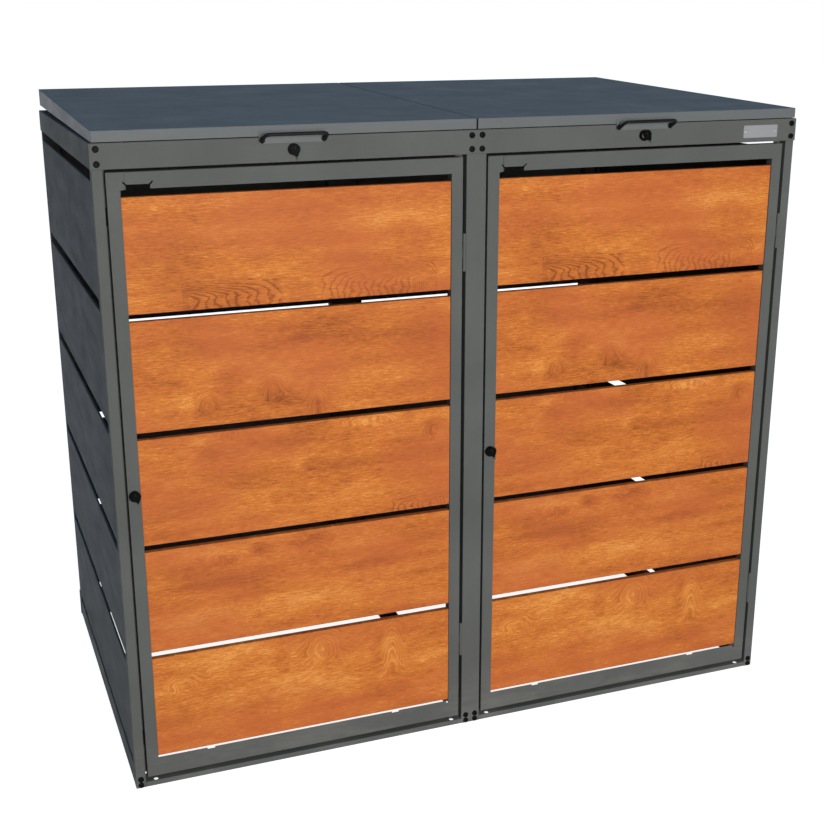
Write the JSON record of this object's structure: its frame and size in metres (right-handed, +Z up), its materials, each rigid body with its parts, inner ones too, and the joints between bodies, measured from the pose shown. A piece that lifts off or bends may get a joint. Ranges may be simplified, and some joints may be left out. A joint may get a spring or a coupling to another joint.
{
  "type": "wheelie bin store",
  "caption": "Slatted steel bin store with sloping hinged lids, framed wood-look doors, bow handles and cam locks, bolted corner posts and open floor.",
  "frame": {"origin": "on the floor, midway between the sides and midway between the handles' front and the lids' rear edge", "axes": "+X to the right seen from the front, +Y to the back, +Z up"},
  "size_m": [1.372, 0.8495, 1.244],
  "materials": {
    "frame_paint": "satin anthracite powder coat",
    "wall_paint": "satin anthracite powder coat",
    "lid_paint": "satin anthracite powder coat",
    "handle_paint": "satin dark powder coat",
    "wood_decor": "golden wood-grain coating, satin",
    "black_fasteners": "black coated",
    "black_locks": "black coated, semi-gloss",
    "bright_steel": "zinc plated",
    "plate_metal": "brushed, blank",
    "buffer_rubber": "matt black"
  },
  "bodies": {
    "frame": {"front_left_post": "frame_paint", "front_mid_post": "frame_paint", "front_right_post": "frame_paint", "rear_left_post": "frame_paint", "rear_mid_post": "frame_paint", "rear_right_post": "frame_paint", "front_top_rail": "frame_paint", "rear_top_rail": "frame_paint", "left_top_rail": "frame_paint", "right_top_rail": "frame_paint", "mid_top_rail": "frame_paint", "left_sill": "frame_paint", "right_sill": "frame_paint", "left_bottom_rail": "frame_paint", "right_bottom_rail": "frame_paint", "rear_bottom_rail": "frame_paint", "mid_bottom_rail": "frame_paint", "left_wall_panels": "wall_paint", "right_wall_panels": "wall_paint", "rear_wall_panels": "wall_paint", "frame_bolts": "black_fasteners", "frame_nuts": "bright_steel", "nameplate": "plate_metal", "nameplate_rivets": "plate_metal", "door_stops": "frame_paint", "rubber_buffers": "buffer_rubber", "frame_hinge_leaves": "frame_paint", "hinge_pins": "bright_steel", "rail_lock_housings": "black_locks", "rail_lock_nuts": "bright_steel"},
    "left_door": {"left_door_frame": "frame_paint", "left_door_panels": "wood_decor", "left_door_hinge_leaves": "frame_paint", "left_door_lock_housing": "black_locks", "left_door_lock_nut": "bright_steel"},
    "left_lid": {"left_lid": "lid_paint", "left_lid_handle": "handle_paint", "left_lid_keeper": "frame_paint", "left_lid_hinge_leaves": "frame_paint"},
    "left_lid_lock_core": {"left_lid_lock_plug": "bright_steel", "left_lid_lock_cam": "bright_steel"},
    "left_lid_lock_cover": {"left_lid_lock_cover": "black_locks"},
    "left_door_lock_core": {"left_door_lock_plug": "bright_steel", "left_door_lock_cam": "bright_steel"},
    "left_door_lock_cover": {"left_door_lock_cover": "black_locks"},
    "right_door": {"right_door_frame": "frame_paint", "right_door_panels": "wood_decor", "right_door_hinge_leaves": "frame_paint", "right_door_lock_housing": "black_locks", "right_door_lock_nut": "bright_steel"},
    "right_lid": {"right_lid": "lid_paint", "right_lid_handle": "handle_paint", "right_lid_keeper": "frame_paint", "right_lid_hinge_leaves": "frame_paint"},
    "right_lid_lock_core": {"right_lid_lock_plug": "bright_steel", "right_lid_lock_cam": "bright_steel"},
    "right_lid_lock_cover": {"right_lid_lock_cover": "black_locks"},
    "right_door_lock_core": {"right_door_lock_plug": "bright_steel", "right_door_lock_cam": "bright_steel"},
    "right_door_lock_cover": {"right_door_lock_cover": "black_locks"}
  },
  "joints": [
    {"name": "left_door_swing", "type": "hinge", "parent": "frame", "child": "left_door", "pos_m": [-0.0228, -0.39325, 0.586], "axis": [0, 0, 1], "range_deg": [0, 110]},
    {"name": "left_lid_swing", "type": "hinge", "parent": "frame", "child": "left_lid", "pos_m": [-0.34275, 0.41925, 1.205], "axis": [-1, 0, 0], "range_deg": [0, 100]},
    {"name": "left_lid_lock_turn", "type": "hinge", "parent": "frame", "child": "left_lid_lock_core", "pos_m": [-0.34275, -0.39475, 1.1785], "axis": [0, 1, 0], "range_deg": [0, 90]},
    {"name": "left_lid_lock_cover_swing", "type": "hinge", "parent": "frame", "child": "left_lid_lock_cover", "pos_m": [-0.34275, -0.40065, 1.1858], "axis": [0, 1, 0], "range_deg": [0, 115]},
    {"name": "left_door_lock_turn", "type": "hinge", "parent": "left_door", "child": "left_door_lock_core", "pos_m": [-0.65075, -0.39325, 0.586], "axis": [0, 1, 0], "range_deg": [0, 90]},
    {"name": "left_door_lock_cover_swing", "type": "hinge", "parent": "left_door", "child": "left_door_lock_cover", "pos_m": [-0.65075, -0.39915, 0.5933], "axis": [0, 1, 0], "range_deg": [0, 115]},
    {"name": "right_door_swing", "type": "hinge", "parent": "frame", "child": "right_door", "pos_m": [0.6627, -0.39325, 0.586], "axis": [0, 0, 1], "range_deg": [0, 110]},
    {"name": "right_lid_swing", "type": "hinge", "parent": "frame", "child": "right_lid", "pos_m": [0.34275, 0.41925, 1.205], "axis": [-1, 0, 0], "range_deg": [0, 100]},
    {"name": "right_lid_lock_turn", "type": "hinge", "parent": "frame", "child": "right_lid_lock_core", "pos_m": [0.34275, -0.39475, 1.1785], "axis": [0, 1, 0], "range_deg": [0, 90]},
    {"name": "right_lid_lock_cover_swing", "type": "hinge", "parent": "frame", "child": "right_lid_lock_cover", "pos_m": [0.34275, -0.40065, 1.1858], "axis": [0, 1, 0], "range_deg": [0, 137]},
    {"name": "right_door_lock_turn", "type": "hinge", "parent": "right_door", "child": "right_door_lock_core", "pos_m": [0.03475, -0.39325, 0.586], "axis": [0, 1, 0], "range_deg": [0, 90]},
    {"name": "right_door_lock_cover_swing", "type": "hinge", "parent": "right_door", "child": "right_door_lock_cover", "pos_m": [0.03475, -0.39915, 0.5933], "axis": [0, 1, 0], "range_deg": [0, 124]}
  ]
}
